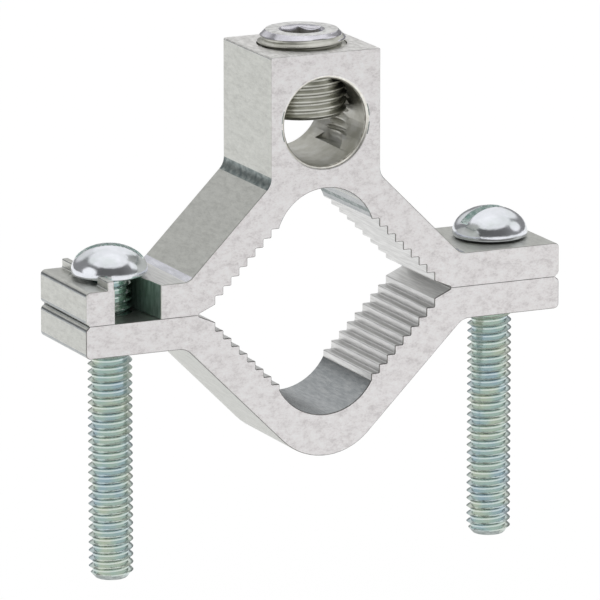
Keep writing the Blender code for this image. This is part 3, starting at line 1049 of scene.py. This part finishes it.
# %% The floor
FLOOR_HALF = 4.0  # metres
JAW_TRAVEL = 40 * MM
FLOOR_GAP = 1 * MM
GLOW = 0.92
floor_mesh = bpy.data.meshes.new("floor")
floor_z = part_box("lower_jaw")[0].z - JAW_TRAVEL - FLOOR_GAP
corners = [(-1, -1), (1, -1), (1, 1), (-1, 1)]
floor_mesh.from_pydata([(x * FLOOR_HALF, y * FLOOR_HALF, floor_z) for x, y in corners], [], [(0, 1, 2, 3)])
floor = link("floor", floor_mesh)
paper = bpy.data.materials.new("white_paper")
paper.use_nodes = True
tree = paper.node_tree
tree.nodes.clear()
ray = add(tree, "ShaderNodeLightPath")
kinds = [ray.outputs["Is Camera Ray"], ray.outputs["Is Glossy Ray"]]
seen = add(tree, MATH, kinds, operation="MAXIMUM")
matt = add(tree, "ShaderNodeBsdfDiffuse", {"Color": colour("#E6E6E6")})
faint = add(tree, "ShaderNodeBsdfDiffuse", {"Color": colour("#5A5A5A")})
glow = add(tree, "ShaderNodeEmission", {"Color": colour("#FFFFFF"), "Strength": GLOW})
bright = add(tree, "ShaderNodeAddShader", [faint, glow])
mix = add(tree, "ShaderNodeMixShader", [seen, matt, bright])
add(tree, "ShaderNodeOutputMaterial", [mix])
floor_mesh.materials.append(paper)
print("floor at z =", round(floor_z / MM, 2), "mm")

# %% [markdown]
# Bare metal shows what stands round it, so the studio is mostly its surroundings. To
# reflections it is a dim room, darker on the side where the camera stands, with
# soft-edged bright panels: a ceiling, large panels behind the clamp on its right, on the
# right and on the left, and a duller one at the back. The dark side gives the round heads
# their dark bands. Real lamps of that size would light the matt parts unevenly, so the
# panels are drawn in the world. Each is given by where it is seen from the clamp, how far
# it reaches, how soft its edge is and how bright it looks, where white paper is 1.

# %% The reflected room
ROOM = 0.26
FRONT_ROOM = 0.13
FRONT = (-155, 20)  # bearing and lift of the dark side's middle
FRONT_FADE = (0.2, 0.8)  # cosines of the angles where the dark side begins and is full
PANELS = (
    ("ceiling", 0, 90, 43, 5, 0.95),
    ("back right", 34, 44, 28, 6, 0.95),
    ("right", 104, 30, 20, 5, 1.0),
    ("left", -92, 12, 24, 5, 1.05),
    ("back", -6, 30, 19, 8, 0.78),
)


def seen_at(bearing, lift):
    """The direction at a bearing from +Y towards +X and at a lift, both in degrees."""
    turn, rise = math.radians(bearing), math.radians(lift)
    return Vector((math.sin(turn) * math.cos(rise), math.cos(turn) * math.cos(rise), math.sin(rise)))


world = bpy.data.worlds.new("studio")
bpy.context.scene.world = world
world.use_nodes = True
tree = world.node_tree
tree.nodes.clear()
direction = add(tree, "ShaderNodeTexCoord").outputs["Generated"]
front = [direction, seen_at(*FRONT)]
frontward = add(tree, "ShaderNodeVectorMath", front, operation="DOT_PRODUCT").outputs["Value"]
limits = {"Value": frontward, "From Min": FRONT_FADE[0], "From Max": FRONT_FADE[1]}
limits |= {"To Min": ROOM, "To Max": FRONT_ROOM}
level = add(tree, "ShaderNodeMapRange", limits)
for name, bearing, lift, reach, softness, brightness in PANELS:
    middle = [direction, seen_at(bearing, lift)]
    toward = add(tree, "ShaderNodeVectorMath", middle, operation="DOT_PRODUCT").outputs["Value"]
    outer = math.cos(math.radians(reach + softness))
    inner = math.cos(math.radians(reach - softness))
    limits = {"Value": toward, "From Min": outer, "From Max": inner}
    limits |= {"To Min": FRONT_ROOM, "To Max": brightness}
    panel = add(tree, "ShaderNodeMapRange", limits, interpolation_type="SMOOTHSTEP")
    level = add(tree, MATH, [level, panel], operation="MAXIMUM")
print("panels:", ", ".join(panel[0] for panel in PANELS))

# %% [markdown]
# The camera sees none of that room: to it the world is plain white, as the background of
# a shop photograph. Diffuse light comes from a plain pale grey, so that a colour renders
# about as it is written, whichever way its surface looks.

# %% The world
PLAIN_LEVEL = 0.8
ray = add(tree, "ShaderNodeLightPath")
reflected = add(tree, "ShaderNodeBackground", {"Color": colour("#FFFFFF"), "Strength": level})
plain = add(tree, "ShaderNodeBackground", {"Color": colour("#FFFFFF"), "Strength": PLAIN_LEVEL})
white = add(tree, "ShaderNodeBackground", {"Color": colour("#FFFFFF"), "Strength": 1.0})
around = add(tree, "ShaderNodeMixShader", [ray.outputs["Is Glossy Ray"], plain, reflected])
mix = add(tree, "ShaderNodeMixShader", [ray.outputs["Is Camera Ray"], around, white])
add(tree, "ShaderNodeOutputWorld", [mix])
print("world:", len(tree.nodes), "nodes")

# %% [markdown]
# One wide soft box hangs over the clamp, inside the ceiling panel. It adds a little to
# the middle of that panel and gives the floor its soft shadow. An area lamp with a power
# of pi watts to the square metre looks as bright as white paper, and this one is dimmer.

# %% The lamp
BOX_HEIGHT = 1.4
BOX_SIZE = 1.0
BOX_LEVEL = 0.1
box_light = bpy.data.lights.new("soft_box", "AREA")
box_light.size = BOX_SIZE
box_light.energy = BOX_LEVEL * math.pi * BOX_SIZE**2
soft_box = link("soft_box", box_light)
soft_box.location = (0, 0, BOX_HEIGHT)
soft_box.visible_camera = False
print("soft box:", round(box_light.energy, 2), "W")

# %% [markdown]
# The camera stands a little above the clamp and round to its left, far off with a long
# lens, as the nearly parallel edges in the photograph show. Its place and aim were fitted
# to the corners of the jaws. Depth of field stays off, and the Standard view keeps the
# white background white.

# %% The camera
LENS = 467.3  # millimetres, on a sensor 36 mm wide
CAMERA_PLACE = Vector((-0.5706, -1.2164, 0.3184))
CAMERA_AIM = Vector((-0.00025, 0.00015, -0.00189))
camera_data = bpy.data.cameras.new("camera")
camera_data.lens = LENS
camera_data.sensor_width = 36
camera_data.clip_start = 0.01
camera_data.clip_end = 100
camera = link("camera", camera_data)
camera.location = CAMERA_PLACE
camera.rotation_euler = (CAMERA_AIM - CAMERA_PLACE).to_track_quat("-Z", "Y").to_euler()
bpy.context.scene.camera = camera
bpy.context.scene.view_settings.view_transform = "Standard"
print("camera", round((CAMERA_PLACE - CAMERA_AIM).length, 3), "m away")
